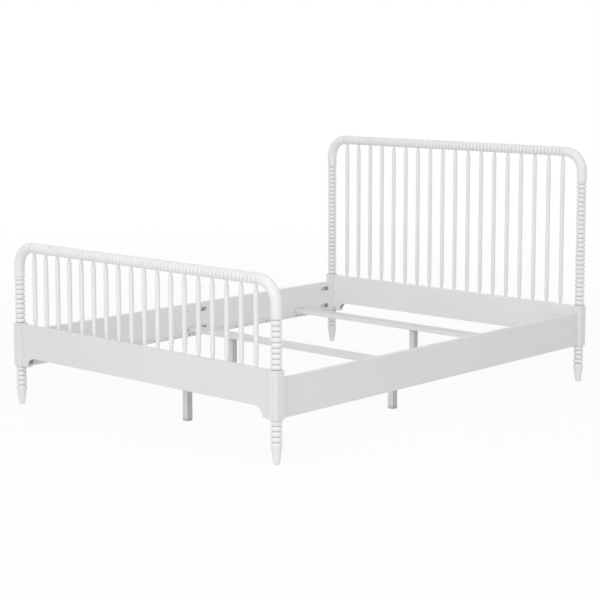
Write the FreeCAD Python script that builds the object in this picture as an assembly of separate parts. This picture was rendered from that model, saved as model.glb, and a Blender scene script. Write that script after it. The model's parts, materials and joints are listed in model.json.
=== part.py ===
import FreeCAD, Part
import math
import os

# Spindle bed for a queen-size mattress, all sizes in millimetres.
# +X runs across the bed, +Y from the footboard to the headboard, +Z up.
# The origin is on the floor, under the middle of the bed.

# ---- mattress and the room around it ----
mattress_width = 1524.0
mattress_length = 2032.0
side_clearance = 2.0             # mattress side to side rail
end_clearance = 13.0             # mattress end to panel

# ---- turned work ----
bead_radius = 23.0
groove_radius = 15.0
bead_pitch = 21.25
leg_beads = 4
footboard_beads = 9
headboard_beads = 27
collar_height = 15.25            # plain ring above the uppermost bead
turned_ease = 2.0                # eased rim where turned pieces meet
foot_radius = 13.0
foot_height = 87.0               # floor to the first groove
foot_ease = 2.5

# ---- post blocks ----
block_size = 47.0
block_height = 194.5
block_corner_radius = 7.0
block_end_ease = 1.5

# ---- corner pieces ----
bend_radius = 92.0
corner_drop = 42.0               # straight length below the bend
corner_reach = 4.0               # straight length beyond the bend

# ---- panels ----
panel_thickness = 26.0
panel_height = 188.5
panel_ease = 3.0
panel_bottom_rise = 1.5          # block's lower end to the panel's lower edge
bracket_width = 39.5             # flat foot of the bracket, beside the block
arch_height = 42.5

# ---- spindles ----
spindle_count = 18
spindle_radius = 10.0
spindle_end_radius = 5.5
spindle_taper = 40.0
spindle_end_gap = 106.6          # post centre to the first spindle's centre
spindle_panel_depth = 20.0
spindle_rail_depth = 14.0        # depth into the top rail, from the beads' crest

# ---- side rails ----
rail_thickness = 23.0
rail_height = 156.0
rail_recess = 18.5               # block's outer face to the rail's outer face
rail_ease = 2.0
rail_bottom_rise = 1.5           # block's lower end to the rail's lower edge

# ---- rail bolts and their pockets ----
bolt_low_rise = 30.5             # rail's lower edge to the lower bolt
bolt_spacing = 91.0              # lower bolt to upper bolt
bolt_depth = 7.5                 # rail's inner face to the bolt's centre
bolt_radius = 3.0
bolt_play = 0.5
thread_play = 0.05
pocket_height = 20.0
pocket_length = 62.0
pocket_depth = 15.0
pocket_wall = 24.0               # rail's end to the pocket
stud_embed = 18.0                # stud's length inside the post
stud_end_play = 1.0
stud_tail = 2.5                  # stud's length beyond the nut
washer_thickness = 12.0
washer_play = 0.2
washer_rise = 8.0                # from the pocket's end to the washer's flat
nut_flats = 10.0
nut_height = 5.0
bolt_head_radius = 5.0
bolt_head_height = 6.0
socket_flats = 5.0
socket_depth = 3.5
barrel_radius = 5.0
barrel_length = 14.0
barrel_play = 0.1
barrel_distance = 43.0           # middle joint to the barrel nut's centre
bolt_tip = 8.0                   # bolt's length beyond the barrel nut's centre

# ---- cleats and their screws ----
cleat_width = 20.0
cleat_height = 20.0
cleat_ease = 1.0
cleat_screw_first = 50.0         # middle joint to the first screw
cleat_screw_end_gap = 80.5       # last screw to the rail's end
cleat_screws_per_half = 5
screw_radius = 2.0
cleat_screw_length = 32.0
screw_head_radius = 4.0
screw_head_height = 2.6
screw_sink = 1.5                 # head's depth below the cleat's face
screw_play = 0.1
cross_slot_width = 1.0
cross_slot_depth = 1.0

# ---- slats and support legs ----
slat_width = 70.0
slat_thickness = 20.0
slat_ease = 1.5
slat_end_play = 2.0
slat_spacing = 768.0
slat_screw_length = 29.0
support_leg_size = 30.0
support_leg_ease = 1.5
outer_leg_offset = 497.0         # bed's middle line to a side support leg
leg_bolt_radius = 4.0
leg_bolt_head_radius = 8.0
leg_bolt_head_height = 4.5
leg_bolt_length = 50.0
leg_insert_radius = 6.0
leg_insert_length = 25.0
insert_sink = 1.0

# ---- dowels ----
corner_dowel_radius = 5.0
corner_dowel_length = 60.0
panel_dowel_radius = 4.0
panel_dowel_length = 40.0
panel_dowel_rises = (55.0, 100.0, 150.0)   # above the panel's lower edge
dowel_play = 0.1
dowel_end_play = 1.0
dowel_ease = 1.0

# ---- sizes and places worked out from those above ----
block_bottom = foot_height + leg_beads * bead_pitch
block_top = block_bottom + block_height
half_block = block_size / 2
rail_bottom = block_bottom + rail_bottom_rise
rail_top = rail_bottom + rail_height
rail_inner = mattress_width / 2 + side_clearance
rail_outer = rail_inner + rail_thickness
post_x = rail_outer + rail_recess - half_block
post_y = mattress_length / 2 + end_clearance + panel_thickness / 2
rail_end = post_y - half_block
panel_bottom = block_bottom + panel_bottom_rise
panel_top = panel_bottom + panel_height
panel_half_length = post_x - half_block
corner_run = bend_radius + corner_reach
top_rail_length = 2 * (post_x - corner_run)
top_rail_beads = round(top_rail_length / bead_pitch)
spindle_pitch = 2 * (post_x - spindle_end_gap) / (spindle_count - 1)
bolt_x = rail_inner + bolt_depth
bolt_heights = (rail_bottom + bolt_low_rise, rail_bottom + bolt_low_rise + bolt_spacing)
cleat_inner = rail_inner - cleat_width
cleat_top = rail_bottom + cleat_height
slat_top = cleat_top + slat_thickness
bead_rise = bead_radius - groove_radius
bead_arc_radius = ((bead_pitch / 2) ** 2 + bead_rise ** 2) / (2 * bead_rise)
bead_arc_angle = math.atan2(bead_pitch / 2, bead_arc_radius - bead_rise)

ORIGIN = FreeCAD.Vector(0, 0, 0)
ACROSS = FreeCAD.Vector(1, 0, 0)
ALONG = FreeCAD.Vector(0, 1, 0)
UP = FreeCAD.Vector(0, 0, 1)


def post_top(beads):
    """Height of the joint between a post and its corner piece."""
    return block_top + beads * bead_pitch + collar_height


def top_rail_height(beads):
    """Height of a top rail's centre line."""
    return post_top(beads) + corner_drop + bend_radius


# ---- shared shapes ----
def block(low, high):
    """Rectangular block between two opposite corners."""
    size = [abs(b - a) for a, b in zip(low, high)]
    corner = FreeCAD.Vector(*[min(a, b) for a, b in zip(low, high)])
    return Part.makeBox(size[0], size[1], size[2], corner)


def rod(radius, length, start, direction):
    return Part.makeCylinder(radius, length, FreeCAD.Vector(*start), direction)


def turned(steps):
    """Solid of revolution about Z. A step of two numbers is a line to (radius, height);
    a step of four is an arc through the first pair to the second."""
    here = FreeCAD.Vector(steps[0][0], 0, steps[0][1])
    first = here
    edges = []
    for step in steps[1:]:
        there = FreeCAD.Vector(step[-2], 0, step[-1])
        if len(step) == 4:
            through = FreeCAD.Vector(step[0], 0, step[1])
            edges.append(Part.Arc(here, through, there).toShape())
        else:
            edges.append(Part.makeLine(here, there))
        here = there
    edges.append(Part.makeLine(here, first))
    return Part.Face(Part.Wire(edges)).revolve(ORIGIN, UP, 360)


def beads(low, count, pitch):
    """Outline of a run of beads that starts in the groove at height low."""
    return [(bead_radius, low + (i + 0.5) * pitch, groove_radius, low + (i + 1) * pitch)
            for i in range(count)]


def half_bead(crest, direction):
    """Point half way along a bead's arc from its crest, going up (+1) or down (-1)."""
    angle = bead_arc_angle / 2
    radius = bead_radius - bead_arc_radius * (1 - math.cos(angle))
    return radius, crest + direction * bead_arc_radius * math.sin(angle)


def eased(shape, chosen, size):
    """Round the edges for which chosen(edge) is true."""
    return shape.makeFillet(size, [edge for edge in shape.Edges if chosen(edge)])


def runs_along(direction):
    return lambda edge: abs(abs(edge.tangentAt(edge.FirstParameter).dot(direction)) - 1) < 1e-6


def mirrored(shape, across):
    return shape.mirror(ORIGIN, across)


def hexagon(flats, height, centre, direction):
    """Six-sided prism about an axis along direction."""
    radius = flats / math.sqrt(3)
    turns = [math.radians(60 * i) for i in range(6)]
    corners = [FreeCAD.Vector(radius * math.cos(turn), radius * math.sin(turn), 0) for turn in turns]
    prism = Part.Face(Part.makePolygon(corners + corners[:1])).extrude(UP * height)
    prism.Placement = FreeCAD.Placement(FreeCAD.Vector(*centre), FreeCAD.Rotation(UP, direction))
    return prism


def dowel(radius, length, middle, direction):
    """Round peg with eased ends, centred on middle."""
    start = FreeCAD.Vector(*middle) - direction * (length / 2)
    peg = Part.makeCylinder(radius, length, start, direction)
    rims = [edge for edge in peg.Edges if edge.Curve.TypeId == "Part::GeomCircle"]
    return peg.makeChamfer(dowel_ease, rims)


def woodscrew(tip, length, direction):
    """Countersunk screw whose head's face is at the start and whose shank runs along direction."""
    start = FreeCAD.Vector(*tip)
    shank_start = start + direction * screw_head_height
    head = Part.makeCone(screw_head_radius, screw_radius, screw_head_height, start, direction)
    point_length = 2 * screw_radius
    body_length = length - screw_head_height - point_length
    shank = Part.makeCylinder(screw_radius, body_length, shank_start, direction)
    point = Part.makeCone(screw_radius, 0, point_length, shank_start + direction * body_length, direction)
    screw = head.fuse([shank, point]).removeSplitter()
    arm = screw_head_radius
    for turn in (0, 90):
        slot = Part.makeBox(arm, cross_slot_width, cross_slot_depth,
                            FreeCAD.Vector(-arm / 2, -cross_slot_width / 2, 0))
        slot.rotate(ORIGIN, UP, turn)
        facing = FreeCAD.Placement(start, FreeCAD.Rotation(UP, direction))
        slot.Placement = facing.multiply(slot.Placement)
        screw = screw.cut(slot)
    return screw


def woodscrew_hole(tip, length, direction):
    """Room for a woodscrew and for the tool above its head."""
    start = FreeCAD.Vector(*tip)
    above = Part.makeCylinder(screw_head_radius + screw_play, screw_sink + screw_head_height,
                              start - direction * screw_sink, direction)
    shank = Part.makeCylinder(screw_radius + screw_play, length + dowel_end_play, start, direction)
    return above.fuse(shank)


# ---- posts ----
def post_blank(bead_count):
    """Turned post about the Z axis, standing on the floor."""
    half_pitch = bead_pitch / 2
    shoulder = foot_height - half_pitch
    leg = turned([(0, 0), (foot_radius - foot_ease, 0), (foot_radius, foot_ease), (bead_radius, shoulder),
                  half_bead(shoulder, 1) + (groove_radius, foot_height)]
                 + beads(foot_height, leg_beads, bead_pitch) + [(0, block_bottom)])
    spool_top = block_top + bead_count * bead_pitch
    top = post_top(bead_count)
    spool = turned([(0, block_top), (groove_radius, block_top)] + beads(block_top, bead_count, bead_pitch)
                   + [half_bead(spool_top + half_pitch, -1) + (bead_radius, spool_top + half_pitch),
                      (bead_radius, top - turned_ease), (bead_radius - turned_ease, top), (0, top)])
    square = block((-half_block, -half_block, block_bottom), (half_block, half_block, block_top))
    square = eased(square, runs_along(UP), block_corner_radius)
    ends = [edge for edge in square.Edges if edge.BoundBox.ZLength < 1e-6]
    square = square.makeChamfer(block_end_ease, ends)
    return square.fuse([leg, spool]).removeSplitter()


def post(bead_count, end):
    """Right-hand post at the head (end = 1) or the foot (end = -1)."""
    shape = post_blank(bead_count)
    shape.translate(FreeCAD.Vector(post_x, end * post_y, 0))
    bores = [rod(corner_dowel_radius + dowel_play, corner_dowel_length / 2 + dowel_end_play,
                 (post_x, end * post_y, post_top(bead_count)), -UP)]
    for height in bolt_heights:
        bores.append(rod(bolt_radius + thread_play, stud_embed + stud_end_play,
                         (bolt_x, end * rail_end, height), ALONG * end))
    for rise in panel_dowel_rises:
        bores.append(rod(panel_dowel_radius + dowel_play, panel_dowel_length / 2 + dowel_end_play,
                         (panel_half_length, end * post_y, panel_bottom + rise), ACROSS))
    return shape.cut(Part.makeCompound(bores))


# ---- corner pieces ----
def corner(bead_count, end):
    """Right-hand corner piece: up from the post, round the bend and level to the top rail."""
    y = end * post_y
    low = post_top(bead_count)
    bend_start = low + corner_drop
    level = top_rail_height(bead_count)
    upright = rod(bead_radius, corner_drop, (post_x, y, low), UP)
    rim = [edge for edge in upright.Edges if edge.BoundBox.ZMax < low + 1e-6]
    upright = upright.makeChamfer(turned_ease, rim)
    section_rim = Part.makeCircle(bead_radius, FreeCAD.Vector(post_x, y, bend_start), UP)
    section = Part.Face(Part.Wire(section_rim))
    bend = section.revolve(FreeCAD.Vector(post_x - bend_radius, y, bend_start), -ALONG, 90)
    reach_start = post_x - bend_radius
    reach = rod(bead_radius, corner_reach, (reach_start, y, level), -ACROSS)
    rim = [edge for edge in reach.Edges if edge.BoundBox.XMax < reach_start - corner_reach + 1e-6]
    reach = reach.makeChamfer(turned_ease, rim)
    shape = upright.fuse([bend, reach]).removeSplitter()
    radius = corner_dowel_radius + dowel_play
    depth = corner_dowel_length / 2 + dowel_end_play
    lower_bore = rod(radius, depth, (post_x, y, low), UP)
    upper_bore = rod(radius, depth, (post_x - corner_run, y, level), ACROSS)
    return shape.cut(Part.makeCompound([lower_bore, upper_bore]))


# ---- top rails, panels and spindles ----
def spindle_places():
    return [-post_x + spindle_end_gap + i * spindle_pitch for i in range(spindle_count)]


def top_rail(bead_count, end):
    """Spool-turned rail with a bore under it for each spindle and a dowel bore in each end."""
    pitch = top_rail_length / top_rail_beads
    half = top_rail_length / 2
    shape = turned([(0, -half), (groove_radius, -half)] + beads(-half, top_rail_beads, pitch)
                   + [(0, half)])
    shape.rotate(ORIGIN, ALONG, 90)
    level = top_rail_height(bead_count)
    shape.translate(FreeCAD.Vector(0, end * post_y, level))
    bores = []
    for x in spindle_places():
        bores.append(rod(spindle_end_radius + dowel_play, spindle_rail_depth + dowel_play,
                         (x, end * post_y, level - bead_radius), UP))
    for side in (-1, 1):
        bores.append(rod(corner_dowel_radius + dowel_play, corner_dowel_length / 2 + dowel_end_play,
                         (side * half, end * post_y, level), ACROSS * -side))
    return shape.cut(Part.makeCompound(bores))


def panel(end):
    """Lower panel: a board with an arched lower edge between two brackets."""
    y = end * post_y - panel_thickness / 2
    bracket_end = panel_half_length - bracket_width
    arch_end = bracket_end - arch_height
    arch_top = panel_bottom + arch_height
    diagonal = math.sqrt(0.5)

    def at(x, z):
        return FreeCAD.Vector(x, y, z)

    def arch_corner(side):
        """Quarter circle from the bracket's foot up to the arch."""
        start = at(side * bracket_end, panel_bottom)
        through = at(side * (arch_end + arch_height * diagonal), panel_bottom + arch_height * diagonal)
        finish = at(side * arch_end, arch_top)
        return Part.Arc(start, through, finish).toShape()

    outline = [Part.makeLine(at(panel_half_length, panel_bottom), at(panel_half_length, panel_top)),
               Part.makeLine(at(panel_half_length, panel_top), at(-panel_half_length, panel_top)),
               Part.makeLine(at(-panel_half_length, panel_top), at(-panel_half_length, panel_bottom)),
               Part.makeLine(at(-panel_half_length, panel_bottom), at(-bracket_end, panel_bottom)),
               arch_corner(-1),
               Part.makeLine(at(-arch_end, arch_top), at(arch_end, arch_top)),
               arch_corner(1),
               Part.makeLine(at(bracket_end, panel_bottom), at(panel_half_length, panel_bottom))]
    board = Part.Face(Part.Wire(Part.__sortEdges__(outline))).extrude(ALONG * panel_thickness)

    def top_arris(edge):
        return runs_along(ACROSS)(edge) and edge.BoundBox.ZMin > panel_top - 1e-6

    board = eased(board, top_arris, panel_ease)
    bores = []
    for x in spindle_places():
        bores.append(rod(spindle_end_radius + dowel_play, spindle_panel_depth + dowel_play,
                         (x, end * post_y, panel_top), -UP))
    for side in (-1, 1):
        for rise in panel_dowel_rises:
            start = (side * panel_half_length, end * post_y, panel_bottom + rise)
            bores.append(rod(panel_dowel_radius + dowel_play, panel_dowel_length / 2 + dowel_end_play,
                             start, ACROSS * -side))
    return board.cut(Part.makeCompound(bores))


def spindle(bead_count, end, x):
    """Straight spindle that swells from each end to its full thickness."""
    foot = panel_top - spindle_panel_depth
    under_rail = top_rail_height(bead_count) - bead_radius
    head = under_rail + spindle_rail_depth
    swell = spindle_radius - spindle_end_radius
    arc_radius = (spindle_taper ** 2 + swell ** 2) / (2 * swell)
    half_angle = math.asin(spindle_taper / arc_radius) / 2
    mid_radius = spindle_radius - arc_radius * (1 - math.cos(half_angle))
    mid_rise = spindle_taper - arc_radius * math.sin(half_angle)
    shape = turned([(0, foot), (spindle_end_radius, foot), (spindle_end_radius, panel_top),
                    (mid_radius, panel_top + mid_rise, spindle_radius, panel_top + spindle_taper),
                    (spindle_radius, under_rail - spindle_taper),
                    (mid_radius, under_rail - mid_rise, spindle_end_radius, under_rail),
                    (spindle_end_radius, head), (0, head)])
    shape.translate(FreeCAD.Vector(x, end * post_y, 0))
    return shape


# ---- side rails and cleats ----
def pocket(near, direction, height):
    """Round-ended pocket in the rail's inner face; near is the end that the bolt enters by."""
    radius = pocket_height / 2
    far = near + direction * pocket_length
    lengths = sorted((near + direction * radius, far - direction * radius))
    middle = block((rail_inner, lengths[0], height - radius),
                   (rail_inner + pocket_depth, lengths[1], height + radius))
    ends = [rod(radius, pocket_depth, (rail_inner, y, height), ACROSS) for y in lengths]
    return middle.fuse(ends).removeSplitter()


def rail_half(end):
    """Right-hand side rail from the middle joint to the head (end = 1) or the foot (end = -1)."""
    shape = block((rail_inner, 0, rail_bottom), (rail_outer, end * rail_end, rail_top))
    shape = eased(shape, runs_along(ALONG), rail_ease)
    cuts = []
    for height in bolt_heights:
        cuts.append(pocket(end * (rail_end - pocket_wall), -end, height))
        cuts.append(rod(bolt_radius + bolt_play, pocket_wall + pocket_height / 2,
                        (bolt_x, end * rail_end, height), ALONG * -end))
        if end > 0:
            cuts.append(pocket(pocket_wall, 1, height))
            cuts.append(rod(bolt_radius + bolt_play, pocket_wall + pocket_height / 2,
                            (bolt_x, 0, height), ALONG))
        else:
            cuts.append(rod(bolt_radius + bolt_play, barrel_distance + bolt_tip + stud_end_play,
                            (bolt_x, 0, height), -ALONG))
            cuts.append(rod(barrel_radius + barrel_play, bolt_depth + barrel_length / 2 + barrel_play,
                            (rail_inner, -barrel_distance, height), ACROSS))
    for y in cleat_screw_places(end):
        cuts.append(woodscrew_hole(cleat_screw_start(y), cleat_screw_length, ACROSS))
    return shape.cut(Part.makeCompound(cuts))


def cleat_screw_places(end):
    spacing = (rail_end - cleat_screw_first - cleat_screw_end_gap) / (cleat_screws_per_half - 1)
    return [end * (cleat_screw_first + i * spacing) for i in range(cleat_screws_per_half)]


def cleat_screw_start(y):
    return cleat_inner + screw_sink, y, rail_bottom + cleat_height / 2


def cleat(end):
    shape = block((cleat_inner, 0, rail_bottom), (rail_inner, end * rail_end, cleat_top))

    def free_arris(edge):
        return runs_along(ALONG)(edge) and edge.BoundBox.XMax < cleat_inner + 1e-6

    shape = eased(shape, free_arris, cleat_ease)
    cuts = [woodscrew_hole(cleat_screw_start(y), cleat_screw_length, ACROSS)
            for y in cleat_screw_places(end)]
    cuts += [woodscrew_hole(start, slat_screw_length, -UP) for start in slat_screw_starts()
             if start[0] > 0 and start[1] * end > 0]
    return shape.cut(Part.makeCompound(cuts))


# ---- slats and support legs ----
SLAT_PLACES = {"foot": -slat_spacing, "middle": 0.0, "head": slat_spacing}


def slat_screw_starts():
    """Head positions of the screws that hold the slat ends to the cleats."""
    x = rail_inner - cleat_width / 2
    off_centre = slat_width / 4
    return [(side * x, y + off_centre, slat_top - screw_sink)
            for y in SLAT_PLACES.values() for side in (-1, 1)]


def leg_places():
    return {"foot": (0, SLAT_PLACES["foot"]), "left": (-outer_leg_offset, SLAT_PLACES["middle"]),
            "right": (outer_leg_offset, SLAT_PLACES["middle"]), "head": (0, SLAT_PLACES["head"])}


def leg_bolt_room(x, y):
    shank = rod(leg_bolt_radius + screw_play, leg_bolt_length + dowel_end_play, (x, y, slat_top), -UP)
    head = Part.makeCone(leg_bolt_head_radius + screw_play, leg_bolt_radius + screw_play,
                         leg_bolt_head_height, FreeCAD.Vector(x, y, slat_top), -UP)
    return head.fuse(shank)


def slat(y):
    half = rail_inner - slat_end_play
    shape = block((-half, y - slat_width / 2, cleat_top), (half, y + slat_width / 2, slat_top))
    shape = eased(shape, runs_along(ACROSS), slat_ease)
    cuts = [woodscrew_hole(start, slat_screw_length, -UP) for start in slat_screw_starts()
            if abs(start[1] - y) < slat_width / 2]
    cuts += [leg_bolt_room(*place) for place in leg_places().values()
             if abs(place[1] - y) < slat_width / 2]
    return shape.cut(Part.makeCompound(cuts))


def support_leg(x, y):
    half = support_leg_size / 2
    shape = block((x - half, y - half, 0), (x + half, y + half, cleat_top))
    shape = eased(shape, runs_along(UP), support_leg_ease)
    insert_depth = leg_insert_length + insert_sink
    insert_room = rod(leg_insert_radius + thread_play, insert_depth, (x, y, cleat_top), -UP)
    bolt_depth_in_leg = leg_bolt_length - slat_thickness + dowel_end_play
    bolt_room = rod(leg_bolt_radius + screw_play, bolt_depth_in_leg, (x, y, cleat_top), -UP)
    return shape.cut(insert_room.fuse(bolt_room))


def leg_bolt(x, y):
    """Flat-headed bolt, flush with the slat's top."""
    top = FreeCAD.Vector(x, y, slat_top)
    head = Part.makeCone(leg_bolt_head_radius, leg_bolt_radius, leg_bolt_head_height, top, -UP)
    shank_length = leg_bolt_length - leg_bolt_head_height
    shank = rod(leg_bolt_radius, shank_length, (x, y, slat_top - leg_bolt_head_height), -UP)
    socket = hexagon(socket_flats, socket_depth, (x, y, slat_top - socket_depth), UP)
    return head.fuse(shank).removeSplitter().cut(socket)


def leg_insert(x, y):
    top = cleat_top - insert_sink
    outside = rod(leg_insert_radius, leg_insert_length, (x, y, top), -UP)
    inside = rod(leg_bolt_radius + thread_play, leg_insert_length, (x, y, top), -UP)
    return outside.cut(inside)


# ---- hardware in the side rails ----
def half_moon_washer(near, direction, height):
    """Half-round washer that lies in the pocket's round end, with its flat facing the nut."""
    radius = pocket_height / 2 - washer_play
    centre = near + direction * pocket_height / 2
    low_x = bolt_x - washer_thickness / 2
    disc = rod(radius, washer_thickness, (low_x, centre, height), ACROSS)
    flat = near + direction * washer_rise
    beyond = near - direction * pocket_height
    keep = block((low_x, flat, height - radius), (low_x + washer_thickness, beyond, height + radius))
    hole = rod(bolt_radius + bolt_play, 3 * pocket_height, (bolt_x, near - pocket_height, height), ALONG)
    return disc.common(keep).cut(hole)


def nut(near, direction, height):
    low = near + direction * washer_rise
    body = hexagon(nut_flats, nut_height, (bolt_x, low, height), ALONG * direction)
    hole = rod(bolt_radius + thread_play, nut_height, (bolt_x, low, height), ALONG * direction)
    return body.cut(hole)


def stud(end, height):
    length = stud_embed + pocket_wall + washer_rise + nut_height + stud_tail
    start = end * (rail_end + stud_embed)
    return rod(bolt_radius, length, (bolt_x, start, height), ALONG * -end)


def joint_bolt(height):
    """Socket-headed bolt across the middle joint, with its head in the head half's pocket."""
    seat = pocket_wall + washer_rise
    head = rod(bolt_head_radius, bolt_head_height, (bolt_x, seat, height), ALONG)
    shank = rod(bolt_radius, seat + barrel_distance + bolt_tip, (bolt_x, seat, height), -ALONG)
    socket = hexagon(socket_flats, socket_depth,
                     (bolt_x, seat + bolt_head_height - socket_depth, height), ALONG)
    return head.fuse(shank).removeSplitter().cut(socket)


def barrel_nut(height):
    low_x = bolt_x - barrel_length / 2
    body = rod(barrel_radius, barrel_length, (low_x, -barrel_distance, height), ACROSS)
    hole = rod(bolt_radius + thread_play, 4 * barrel_radius,
               (bolt_x, -barrel_distance - 2 * barrel_radius, height), ALONG)
    return body.cut(hole)


def both_sides(shapes):
    return shapes + [mirrored(shape, ACROSS) for shape in shapes]


# ---- the nodes ----
ENDS = {"headboard": (headboard_beads, 1), "footboard": (footboard_beads, -1)}
HALVES = {"head": 1, "foot": -1}
nodes = {}

corner_dowels = []
panel_dowels = []
for name, (bead_count, end) in ENDS.items():
    right_post = post(bead_count, end)
    right_corner = corner(bead_count, end)
    nodes[name + "_post_right"] = [right_post]
    nodes[name + "_post_left"] = [mirrored(right_post, ACROSS)]
    nodes[name + "_corner_right"] = [right_corner]
    nodes[name + "_corner_left"] = [mirrored(right_corner, ACROSS)]
    nodes[name + "_top_rail"] = [top_rail(bead_count, end)]
    nodes[name + "_panel"] = [panel(end)]
    spindles = [spindle(bead_count, end, x) for x in spindle_places()]
    for first in range(0, spindle_count, 2):
        nodes[name + "_spindle_pair_" + str(first // 2 + 1)] = spindles[first:first + 2]
    corner_dowels += both_sides([
        dowel(corner_dowel_radius, corner_dowel_length, (post_x, end * post_y, post_top(bead_count)), UP),
        dowel(corner_dowel_radius, corner_dowel_length,
              (post_x - corner_run, end * post_y, top_rail_height(bead_count)), ACROSS)])
    panel_dowels += both_sides([
        dowel(panel_dowel_radius, panel_dowel_length,
              (panel_half_length, end * post_y, panel_bottom + rise), ACROSS)
        for rise in panel_dowel_rises])
nodes["corner_dowels"] = corner_dowels
nodes["panel_dowels"] = panel_dowels

for name, end in HALVES.items():
    right_rail = rail_half(end)
    right_cleat = cleat(end)
    nodes["side_rail_right_" + name + "_half"] = [right_rail]
    nodes["side_rail_left_" + name + "_half"] = [mirrored(right_rail, ACROSS)]
    nodes["cleat_right_" + name + "_half"] = [right_cleat]
    nodes["cleat_left_" + name + "_half"] = [mirrored(right_cleat, ACROSS)]

for name, y in SLAT_PLACES.items():
    nodes[name + "_slat"] = [slat(y)]
for name, place in leg_places().items():
    nodes["support_leg_" + name] = [support_leg(*place)]
nodes["leg_bolts"] = [leg_bolt(*place) for place in leg_places().values()]
nodes["leg_inserts"] = [leg_insert(*place) for place in leg_places().values()]

post_pockets = [(end * (rail_end - pocket_wall), -end, height)
                for end in (-1, 1) for height in bolt_heights]
joint_pockets = [(pocket_wall, 1, height) for height in bolt_heights]
nodes["rail_studs"] = both_sides([stud(end, height) for end in (-1, 1) for height in bolt_heights])
nodes["rail_nuts"] = both_sides([nut(*place) for place in post_pockets])
nodes["half_moon_washers"] = both_sides([half_moon_washer(*place)
                                         for place in post_pockets + joint_pockets])
nodes["joint_bolts"] = both_sides([joint_bolt(height) for height in bolt_heights])
nodes["barrel_nuts"] = both_sides([barrel_nut(height) for height in bolt_heights])
nodes["cleat_screws"] = both_sides([woodscrew(cleat_screw_start(y), cleat_screw_length, ACROSS)
                                    for end in (-1, 1) for y in cleat_screw_places(end)])
nodes["slat_screws"] = [woodscrew(start, slat_screw_length, -UP) for start in slat_screw_starts()]

os.makedirs("parts", exist_ok=True)
for name, solids in nodes.items():
    shape = solids[0] if len(solids) == 1 else Part.makeCompound(solids)
    shape.exportStep("parts/" + name + ".step")
    box = shape.BoundBox
    print(name, len(shape.Solids), "valid" if shape.isValid() else "NOT VALID", round(shape.Volume),
          [round(v, 1) for v in (box.XMin, box.YMin, box.ZMin, box.XMax, box.YMax, box.ZMax)])
print(len(nodes), "nodes")
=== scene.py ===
import json
import math

import bpy
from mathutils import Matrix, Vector


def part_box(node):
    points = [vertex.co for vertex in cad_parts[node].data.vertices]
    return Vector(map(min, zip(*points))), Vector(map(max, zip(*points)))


# Looks of a white painted spindle bed. All sizes are in metres.
# +X runs across the bed, +Y from the footboard to the headboard, +Z up.
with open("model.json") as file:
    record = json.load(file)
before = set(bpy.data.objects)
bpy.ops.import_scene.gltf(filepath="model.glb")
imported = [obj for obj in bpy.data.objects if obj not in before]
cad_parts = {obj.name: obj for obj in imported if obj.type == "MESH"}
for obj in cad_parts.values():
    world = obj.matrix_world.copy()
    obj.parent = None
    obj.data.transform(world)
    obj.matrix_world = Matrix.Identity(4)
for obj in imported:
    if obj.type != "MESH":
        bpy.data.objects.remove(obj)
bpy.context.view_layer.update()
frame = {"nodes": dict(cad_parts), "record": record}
NODES = frame["nodes"]
ACROSS, ALONG, UPRIGHT = 0, 1, 2

# ---- colours, linear ----
# Boards, slats, legs, cleats, undersides and post blocks have tones of their own. They were set to match a
# photograph, and stand in for shade as much as for paint.
PAINT_LIGHT = (0.85, 0.85, 0.85)
PAINT_DARK = (0.82, 0.82, 0.82)
# painted shade in the paint's own grooves and hollows
GROOVE_SHADE = (0.62, 0.61, 0.60)
# painted shade: a greyer paint for the right rail, the footboard's panel and the posts' blocks
SHADED_BOARD_LIGHT = (0.78, 0.78, 0.78)
SHADED_BOARD_DARK = (0.755, 0.755, 0.755)
SLAT_LIGHT = (0.85, 0.85, 0.85)
SLAT_DARK = (0.80, 0.80, 0.80)
# painted shade: a slat's top face is greyer than its front
SLAT_TOP_SHADE = (0.74, 0.74, 0.74)
# painted shade: the support legs are greyer than the frame, and their side faces darker still
SHADED_LEG_LIGHT = (0.76, 0.76, 0.76)
SHADED_LEG_DARK = (0.70, 0.70, 0.70)
LEG_SIDE_SHADE = (0.52, 0.52, 0.52)
# painted shade: a cleat's faces that look across the bed are greyer
CLEAT_FACE_SHADE = (0.74, 0.74, 0.74)
# painted shadow: a panel's downward faces are dark
UNDERSIDE_SHADOW = (0.22, 0.21, 0.20)
# a dark joint line, and painted shade between pieces that stand close
SEAM_AND_SHADE = (0.20, 0.19, 0.18)
PRIMER = (0.74, 0.72, 0.68)
BARE_LIGHT = (0.80, 0.60, 0.40)
BARE_DARK = (0.56, 0.41, 0.26)
SPRAYED_BARE = (0.84, 0.82, 0.77)
BEECH_LIGHT = (0.62, 0.42, 0.24)
BEECH_DARK = (0.42, 0.26, 0.13)
ZINC_LIGHT = (0.64, 0.65, 0.66)
ZINC_DARK = (0.40, 0.41, 0.42)
SCREW_LIGHT = (0.10, 0.095, 0.085)
SCREW_DARK = (0.03, 0.028, 0.025)
FLOOR_GREY = (0.85, 0.85, 0.85)
FLOOR_SEEN = (0.9, 0.9, 0.9)
WHITE = (1.0, 1.0, 1.0)

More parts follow.
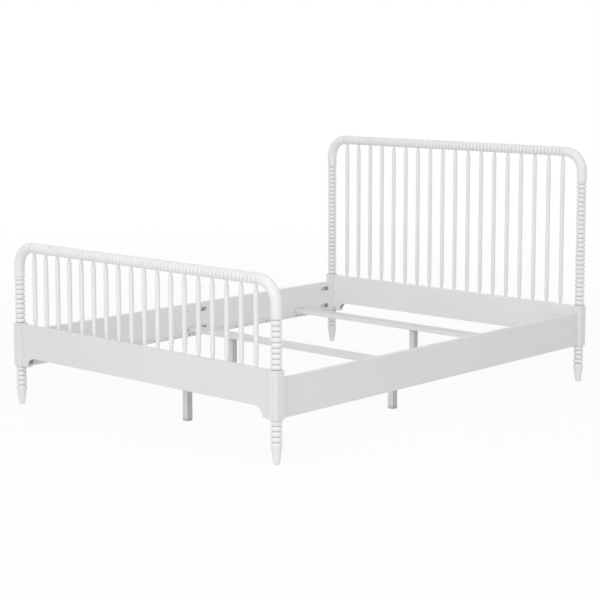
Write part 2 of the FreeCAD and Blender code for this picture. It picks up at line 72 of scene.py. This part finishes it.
# ---- sizes of the finish ----
GRAIN_STRETCH = 0.035            # scale along the grain, against across it
GRAIN_SCALE = 260.0
TONE_SCALE = 3.0
SPRAY_SCALE = 950.0
WEAR_SCALE = 120.0
WEAR_SHARE = 0.55                # how much primer shows on a rubbed edge
OVERSPRAY_SCALE = 700.0
EDGE_RADIUS = 0.0012
GROOVE_REACH = 0.012
GROOVE_STRENGTH = 0.04
SEAM_SHADE_REACH = 0.003
SEAM_SHADE_STRENGTH = 0.36
LEG_SHADOW_REACH = 0.030           # a leg's painted shadow under its slat is taller
LEG_SHADOW_STRENGTH = 0.8
CLEAT_SHADOW_REACH = 0.014          # and so is a cleat's painted shadow under the slat that it holds
CLEAT_SHADOW_STRENGTH = 0.5
GROOVE_OPENNESS = (0.85, 0.25)   # where the painted shade in a groove starts and where it is full
NARROW_OPENNESS = (0.62, 0.25)
WIDE_OPENNESS = (0.75, 0.40)
OPENNESS_SAMPLES = 6
PAINT_ROUGHNESS = (0.36, 0.50)
BARE_EXTRA_ROUGHNESS = 0.35
RELIEF_DEPTH = 0.0004
STEEL_REACH = 0.003
BAND_EDGE = 0.001
BLOCK_OVERHANG = (0.001, 0.004)  # a post's block reaches past its panel, below and above
OVERSPRAY_DEPTH = 0.0022         # how deep the paint reaches into a pocket


# ---- node graphs ----
MIX_SHARE, MIX_A, MIX_B, MIX_RESULT = 0, 6, 7, 2  # the Mix node's sockets for colours


class Graph:
    """A new material and short ways to add its nodes."""

    def __init__(self, name):
        self.material = bpy.data.materials.new(name)
        self.material.use_nodes = True
        self.tree = self.material.node_tree
        self.tree.nodes.clear()
        self.output = self.add("OutputMaterial")

    def add(self, kind, sockets=None, **settings):
        """A node with its settings, and its sockets either linked or set."""
        node = self.tree.nodes.new("ShaderNode" + kind)
        for key, value in settings.items():
            setattr(node, key, value)
        for key, value in (sockets or {}).items():
            self.feed(node.inputs[key], value)
        return node

    def feed(self, socket, value):
        if isinstance(value, bpy.types.NodeSocket):
            self.tree.links.new(value, socket)
        elif isinstance(value, tuple) and len(value) == 3 and socket.type == "RGBA":
            socket.default_value = (*value, 1.0)
        else:
            socket.default_value = value

    def math(self, operation, a, b=0.0):
        return self.add("Math", {0: a, 1: b}, operation=operation).outputs[0]

    def vector_math(self, operation, a, b):
        return self.add("VectorMath", {0: a, 1: b}, operation=operation).outputs

    def mix(self, share, a, b):
        """Colour a where share is 0 and b where it is 1."""
        node = self.add("Mix", data_type="RGBA")
        self.feed(node.inputs[MIX_SHARE], share)
        self.feed(node.inputs[MIX_A], a)
        self.feed(node.inputs[MIX_B], b)
        return node.outputs[MIX_RESULT]

    def ramp(self, value, low, high):
        """0 below low, 1 above high, and straight between."""
        return self.add("MapRange", {"Value": value, "From Min": low, "From Max": high}).outputs[0]

    def place(self, stretch=(1.0, 1.0, 1.0)):
        coordinates = self.add("TexCoord").outputs["Object"]
        return self.add("Mapping", {"Vector": coordinates, "Scale": stretch}).outputs[0]

    def noise(self, place, scale, detail=2.0, roughness=0.5):
        sockets = {"Vector": place, "Scale": scale, "Detail": detail, "Roughness": roughness}
        return self.add("TexNoise", sockets).outputs[0]

    def openness(self, reach, own_only):
        """1 where a point is open to all within reach, and 0 in a closed corner."""
        node = self.add("AmbientOcclusion", {"Distance": reach},
                        samples=OPENNESS_SAMPLES, only_local=own_only)
        return node.outputs["AO"]

    def finish(self, shader):
        self.tree.links.new(shader.outputs[0], self.output.inputs["Surface"])
        return self.material


def grain_stretch(axis):
    return tuple(GRAIN_STRETCH if i == axis else 1.0 for i in range(3))


def inside_mask(graph, low, high):
    """1 on faces that were cut into a board with that box, past the overspray, and 0 on its outside."""
    position = graph.add("TexCoord").outputs["Object"]
    centre = (low + high) / 2
    half = (high - low) / 2
    away = graph.vector_math("SUBTRACT", position, tuple(centre))[0]
    away = graph.add("VectorMath", {0: away}, operation="ABSOLUTE").outputs[0]
    depth = graph.vector_math("SUBTRACT", tuple(half), away)[0]
    axes = graph.add("SeparateXYZ", {0: depth}).outputs
    least = graph.math("MINIMUM", axes[0], graph.math("MINIMUM", axes[1], axes[2]))
    ragged = graph.math("MULTIPLY", graph.noise(graph.place(), OVERSPRAY_SCALE), OVERSPRAY_DEPTH)
    return graph.ramp(graph.math("SUBTRACT", least, ragged), OVERSPRAY_DEPTH / 2, OVERSPRAY_DEPTH)


def bare_wood_colour(graph, axis, light, dark):
    """Streaked wood with its grain along an axis."""
    place = graph.place(grain_stretch(axis))
    streaks = graph.noise(place, 180.0, detail=5.0, roughness=0.65)
    bands = graph.noise(place, 45.0, detail=2.0)
    both = graph.math("MULTIPLY", graph.math("ADD", streaks, bands), 0.5)
    return graph.mix(graph.ramp(both, 0.36, 0.64), dark, light)


def paint(name, axis, light, dark, bare_box=None, face_shade=None, shade_band=None,
          seam_shade_reach=SEAM_SHADE_REACH, seam_shade_strength=SEAM_SHADE_STRENGTH):
    """Satin paint over wood whose grain runs along an axis.

    In a board with a bare_box, what is cut into it is bare. face_shade is painted shade on faces: the axis
    along which they look, which way (0 for both), and their darker tone. shade_band is a stretch of height,
    from and to, and its greyer tone, as painted shade. seam_shade_reach is how far from another piece a dark
    joint line and painted shade still show, and seam_shade_strength how dark they are.
    """
    graph = Graph(name)
    place = graph.place()
    tone = graph.noise(place, TONE_SCALE, detail=3.0)
    grain_place = graph.place(grain_stretch(axis))
    streaks = graph.noise(grain_place, GRAIN_SCALE, detail=4.0, roughness=0.6)
    pores = graph.noise(grain_place, 3.2 * GRAIN_SCALE, detail=2.0, roughness=0.7)
    spray = graph.noise(place, SPRAY_SCALE, detail=2.0)

    blend = graph.math("ADD", graph.math("MULTIPLY", tone, 0.6), graph.math("MULTIPLY", streaks, 0.4))
    colour = graph.mix(graph.ramp(blend, 0.35, 0.65), dark, light)
    flat_normal = graph.add("NewGeometry").outputs["Normal"]
    # Painted shade: faces that look along an axis get a darker tone of their own.
    if face_shade:
        shade_axis, side, face_shade_colour = face_shade
        facing = graph.add("SeparateXYZ", {0: flat_normal}).outputs[shade_axis]
        facing = graph.math("MULTIPLY", facing, side) if side else graph.math("ABSOLUTE", facing)
        colour = graph.mix(graph.ramp(facing, 0.10, 0.50), colour, face_shade_colour)

    # Painted shade: a stretch of height gets a greyer tone of its own.
    if shade_band:
        bottom, top, band_shade = shade_band
        height = graph.add("SeparateXYZ", {0: place}).outputs[UPRIGHT]
        above = graph.ramp(height, bottom - BAND_EDGE, bottom)
        below = graph.ramp(height, top + BAND_EDGE, top)
        colour = graph.mix(graph.math("MULTIPLY", above, below), colour, band_shade)

    # Painted shade: the paint darkens in grooves and hollows of its own piece.
    openness = graph.openness(GROOVE_REACH, own_only=True)
    groove_shade_share = graph.math("MULTIPLY", graph.ramp(openness, *GROOVE_OPENNESS), GROOVE_STRENGTH)
    colour = graph.mix(groove_shade_share, colour, GROOVE_SHADE)
    # A dark joint line, and painted shade: the paint darkens where another piece is close.
    gap = graph.openness(seam_shade_reach, own_only=False)
    limits = NARROW_OPENNESS if seam_shade_reach == SEAM_SHADE_REACH else WIDE_OPENNESS
    seam_and_shade = graph.math("MULTIPLY", graph.ramp(gap, *limits), seam_shade_strength)
    colour = graph.mix(seam_and_shade, colour, SEAM_AND_SHADE)

    round_normal = graph.add("Bevel", {"Radius": EDGE_RADIUS}, samples=OPENNESS_SAMPLES).outputs[0]
    facing = graph.vector_math("DOT_PRODUCT", flat_normal, round_normal)[1]
    edge = graph.ramp(facing, 0.985, 0.90)
    rubbed = graph.ramp(graph.noise(place, WEAR_SCALE, detail=4.0, roughness=0.7), 0.54, 0.68)
    worn = graph.math("MULTIPLY", graph.math("MULTIPLY", edge, rubbed), WEAR_SHARE)
    colour = graph.mix(worn, colour, PRIMER)

    low_roughness, high_roughness = PAINT_ROUGHNESS
    sockets = {"Value": streaks, "To Min": low_roughness, "To Max": high_roughness}
    roughness = graph.add("MapRange", sockets).outputs[0]
    relief = graph.math("ADD", graph.math("MULTIPLY", spray, 0.35), graph.math("MULTIPLY", streaks, 0.40))
    relief = graph.math("ADD", relief, graph.math("MULTIPLY", pores, 0.25))
    if bare_box:
        bare = inside_mask(graph, *bare_box)
        wood = bare_wood_colour(graph, axis, BARE_LIGHT, BARE_DARK)
        along = graph.add("SeparateXYZ", {0: place}).outputs[ALONG]
        near_post = graph.ramp(graph.math("ABSOLUTE", along), 0.70, 0.92)
        patchy = graph.ramp(graph.noise(place, 60.0, detail=3.0), 0.35, 0.70)
        sprayed = graph.math("MAXIMUM", near_post, graph.math("MULTIPLY", patchy, 0.5))
        colour = graph.mix(bare, colour, graph.mix(sprayed, wood, SPRAYED_BARE))
        roughness = graph.math("ADD", roughness, graph.math("MULTIPLY", bare, BARE_EXTRA_ROUGHNESS))
    bump = graph.add("Bump", {"Height": relief, "Strength": 0.28, "Distance": RELIEF_DEPTH}).outputs[0]
    shader = graph.add("BsdfPrincipled", {"Base Color": colour, "Roughness": roughness, "Normal": bump,
                                          "Coat Weight": 0.15, "Coat Roughness": 0.25})
    return graph.finish(shader)


def bare_wood(name, axis):
    graph = Graph(name)
    colour = bare_wood_colour(graph, axis, BEECH_LIGHT, BEECH_DARK)
    relief = graph.noise(graph.place(grain_stretch(axis)), 400.0, detail=4.0, roughness=0.7)
    bump = graph.add("Bump", {"Height": relief, "Strength": 0.4, "Distance": RELIEF_DEPTH}).outputs[0]
    roughness = graph.add("MapRange", {"Value": relief, "To Min": 0.60, "To Max": 0.80}).outputs[0]
    sockets = {"Base Color": colour, "Roughness": roughness, "Normal": bump}
    return graph.finish(graph.add("BsdfPrincipled", sockets))


def plated_steel(name, light, dark, low_roughness, high_roughness):
    """Plated steel: mottled plating, fine scratches and painted shade in its hollows."""
    graph = Graph(name)
    place = graph.place()
    mottle = graph.noise(place, 420.0, detail=4.0, roughness=0.6)
    scratches = graph.noise(graph.place((1.0, 0.06, 1.0)), 1800.0, detail=3.0, roughness=0.7)
    colour = graph.mix(graph.ramp(mottle, 0.38, 0.62), dark, light)
    openness = graph.openness(STEEL_REACH, own_only=True)
    # Painted shade: the plating darkens in its hollows.
    colour = graph.mix(graph.math("MULTIPLY", graph.ramp(openness, 0.9, 0.3), 0.6), colour, dark)
    sockets = {"Value": mottle, "To Min": low_roughness, "To Max": high_roughness}
    roughness = graph.add("MapRange", sockets).outputs[0]
    bump = graph.add("Bump", {"Height": scratches, "Strength": 0.25, "Distance": 0.0001}).outputs[0]
    sockets = {"Base Color": colour, "Metallic": 1.0, "Roughness": roughness, "Normal": bump}
    return graph.finish(graph.add("BsdfPrincipled", sockets))


# ---- what each node is finished with ----
def grain_axis(name):
    """The way a node's grain runs: along its longest side."""
    if name.endswith(("_panel", "_top_rail", "_slat")):
        return ACROSS
    if name.startswith(("side_rail", "cleat")):
        return ALONG
    return UPRIGHT


def painted(name):
    """A node's own paint."""
    axis = grain_axis(name)
    if name.endswith("_slat"):
        # Painted shade: a slat's top face is greyer.
        return paint("paint_" + name, axis, SLAT_LIGHT, SLAT_DARK, face_shade=(UPRIGHT, 1, SLAT_TOP_SHADE))
    if name.startswith("support_leg"):
        # Painted shade: a leg is greyer, its side faces darker, and a painted shadow falls under its slat.
        return paint("paint_" + name, axis, SHADED_LEG_LIGHT, SHADED_LEG_DARK, face_shade=(ACROSS, 0, LEG_SIDE_SHADE),
                     seam_shade_reach=LEG_SHADOW_REACH, seam_shade_strength=LEG_SHADOW_STRENGTH)
    if name.startswith("cleat"):
        # Painted shade: a cleat's faces that look across are greyer, and a painted shadow falls under its
        # slat.
        return paint("paint_" + name, axis, PAINT_LIGHT, PAINT_DARK, bare_box=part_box(name),
                     face_shade=(ACROSS, 0, CLEAT_FACE_SHADE), seam_shade_reach=CLEAT_SHADOW_REACH,
                     seam_shade_strength=CLEAT_SHADOW_STRENGTH)
    if name.startswith("side_rail"):
        # Painted shade: the right rail is greyer than the left one.
        light, dark = (SHADED_BOARD_LIGHT, SHADED_BOARD_DARK) if "right" in name else (PAINT_LIGHT, PAINT_DARK)
        return paint("paint_" + name, axis, light, dark, bare_box=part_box(name))
    if name.endswith("_panel"):
        # Painted shade: the footboard's panel is greyer than the headboard's.
        light, dark = (SHADED_BOARD_LIGHT, SHADED_BOARD_DARK) if name.startswith("foot") else (PAINT_LIGHT, PAINT_DARK)
        # Painted shadow: a panel's downward faces are dark.
        return paint("paint_" + name, axis, light, dark, face_shade=(UPRIGHT, -1, UNDERSIDE_SHADOW))
    if "post" in name:
        # Painted shade: a post's block is greyer than its turned parts.
        panel_low, panel_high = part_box(name.split("_")[0] + "_panel")
        below, above = BLOCK_OVERHANG
        block = (panel_low[UPRIGHT] - below, panel_high[UPRIGHT] + above, SHADED_BOARD_LIGHT)
        return paint("paint_" + name, axis, PAINT_LIGHT, PAINT_DARK, shade_band=block)
    return paint("paint_" + name, axis, PAINT_LIGHT, PAINT_DARK)


def dress():
    metals_and_wood = {
        "dowel_wood": bare_wood("beech", UPRIGHT),
        "zinc_steel": plated_steel("zinc_steel", ZINC_LIGHT, ZINC_DARK, 0.28, 0.45),
        "screw_steel": plated_steel("screw_steel", SCREW_LIGHT, SCREW_DARK, 0.35, 0.55),
    }
    for part in frame["record"]["subparts"]:
        name = part["node"]
        mesh = NODES[name].data
        mesh.materials.clear()
        mesh.materials.append(metals_and_wood.get(part["material_slot"]) or painted(name))


# ---- stage, lamps and camera ----
FLOOR_RADIUS = 60.0
FLOOR_EDGES = 96
FLOOR_WHITENS = (2.0, 7.0)       # from the bed's middle, where the floor starts to pale and where it is white
FLOOR_GLOW = (0.90, 1.0)         # share of plain white in the floor as seen, near and far
SKY_STRENGTH = 0.65
LAMP_TARGET = Vector((0.0, 0.0, 0.5))
LAMPS = {                        # direction from the origin, distance, size and power in watts
    "front": ((0.25, -1.00, 0.30), 12.0, 5.0, 220.0),
    "side": ((0.85, -0.55, 0.30), 12.0, 5.0, 55.0),
    "near": ((1.00, -0.75, 0.35), 4.5, 2.0, 8.0),
    "above": ((0.30, -0.40, 1.00), 10.0, 4.5, 150.0),
}
IMAGE_SIDE = 600                 # pixels
SENSOR = 36.0                    # millimetres
FOCAL_PIXELS = 1620.6
OPTICAL_CENTRE = (309.2, 235.0)  # pixels
CAMERA_PLACE = (4.9437, -5.4238, 1.5923)
CAMERA_TURN = math.radians(42.343)
CAMERA_TILT = math.radians(90.0 - 6.715)


def floor():
    """A pale floor that is white to the camera far from the bed and keeps the bed's soft shadow near it."""
    bpy.ops.mesh.primitive_circle_add(vertices=FLOOR_EDGES, radius=FLOOR_RADIUS, fill_type="NGON",
                                      location=(0, 0, 0))
    disc = bpy.context.object
    disc.name = "floor"
    graph = Graph("floor")
    path = graph.add("LightPath").outputs
    seen = graph.math("MAXIMUM", path["Is Camera Ray"],
                      graph.math("MAXIMUM", path["Is Glossy Ray"], path["Is Transmission Ray"]))
    position = graph.add("TexCoord").outputs["Object"]
    distance = graph.add("VectorMath", {0: position}, operation="LENGTH").outputs["Value"]
    far = graph.ramp(distance, *FLOOR_WHITENS)
    near_share, far_share = FLOOR_GLOW
    glow_share = graph.add("MapRange", {"Value": far, "To Min": near_share, "To Max": far_share}).outputs[0]
    matte = graph.add("BsdfDiffuse", {"Color": graph.mix(seen, FLOOR_GREY, FLOOR_SEEN)})
    glow = graph.add("Emission", {"Color": WHITE, "Strength": 1.0})
    both = graph.add("MixShader", {0: graph.math("MULTIPLY", seen, glow_share)})
    graph.tree.links.new(matte.outputs[0], both.inputs[1])
    graph.tree.links.new(glow.outputs[0], both.inputs[2])
    disc.data.materials.append(graph.finish(both))


def sky(strength):
    """Even light from all round, seen as plain white."""
    world = bpy.data.worlds.new("studio")
    bpy.context.scene.world = world
    world.use_nodes = True
    tree = world.node_tree
    tree.nodes.clear()
    path = tree.nodes.new("ShaderNodeLightPath")
    lit = tree.nodes.new("ShaderNodeBackground")
    lit.inputs["Strength"].default_value = strength
    lit.inputs["Color"].default_value = (*WHITE, 1.0)
    white = tree.nodes.new("ShaderNodeBackground")
    white.inputs["Color"].default_value = (*WHITE, 1.0)
    seen = tree.nodes.new("ShaderNodeMath")
    seen.operation = "MAXIMUM"
    seen_more = tree.nodes.new("ShaderNodeMath")
    seen_more.operation = "MAXIMUM"
    mix = tree.nodes.new("ShaderNodeMixShader")
    output = tree.nodes.new("ShaderNodeOutputWorld")
    link = tree.links.new
    link(path.outputs["Is Camera Ray"], seen.inputs[0])
    link(path.outputs["Is Glossy Ray"], seen.inputs[1])
    link(seen.outputs[0], seen_more.inputs[0])
    link(path.outputs["Is Transmission Ray"], seen_more.inputs[1])
    link(seen_more.outputs[0], mix.inputs[0])
    link(lit.outputs[0], mix.inputs[1])
    link(white.outputs[0], mix.inputs[2])
    link(mix.outputs[0], output.inputs["Surface"])


def softbox(name, direction, distance, size, power):
    """A square lamp at a distance from the origin, pointing at LAMP_TARGET, that the camera doesn't see."""
    data = bpy.data.lights.new(name, "AREA")
    data.shape = "SQUARE"
    data.size = size
    data.energy = power
    lamp = bpy.data.objects.new(name, data)
    bpy.context.scene.collection.objects.link(lamp)
    lamp.location = Vector(direction).normalized() * distance
    lamp.rotation_euler = (LAMP_TARGET - lamp.location).to_track_quat("-Z", "Y").to_euler()
    lamp.visible_camera = False


def camera():
    data = bpy.data.cameras.new("camera")
    data.sensor_width = SENSOR
    data.lens = FOCAL_PIXELS * SENSOR / IMAGE_SIDE
    data.shift_x = (IMAGE_SIDE / 2 - OPTICAL_CENTRE[0]) / IMAGE_SIDE
    data.shift_y = (OPTICAL_CENTRE[1] - IMAGE_SIDE / 2) / IMAGE_SIDE
    eye = bpy.data.objects.new("camera", data)
    bpy.context.scene.collection.objects.link(eye)
    eye.location = CAMERA_PLACE
    eye.rotation_euler = (CAMERA_TILT, 0.0, CAMERA_TURN)
    bpy.context.scene.camera = eye


dress()
floor()
sky(SKY_STRENGTH)
for lamp_name, lamp_settings in LAMPS.items():
    softbox(lamp_name, *lamp_settings)
camera()
bpy.context.scene.view_settings.view_transform = "Standard"
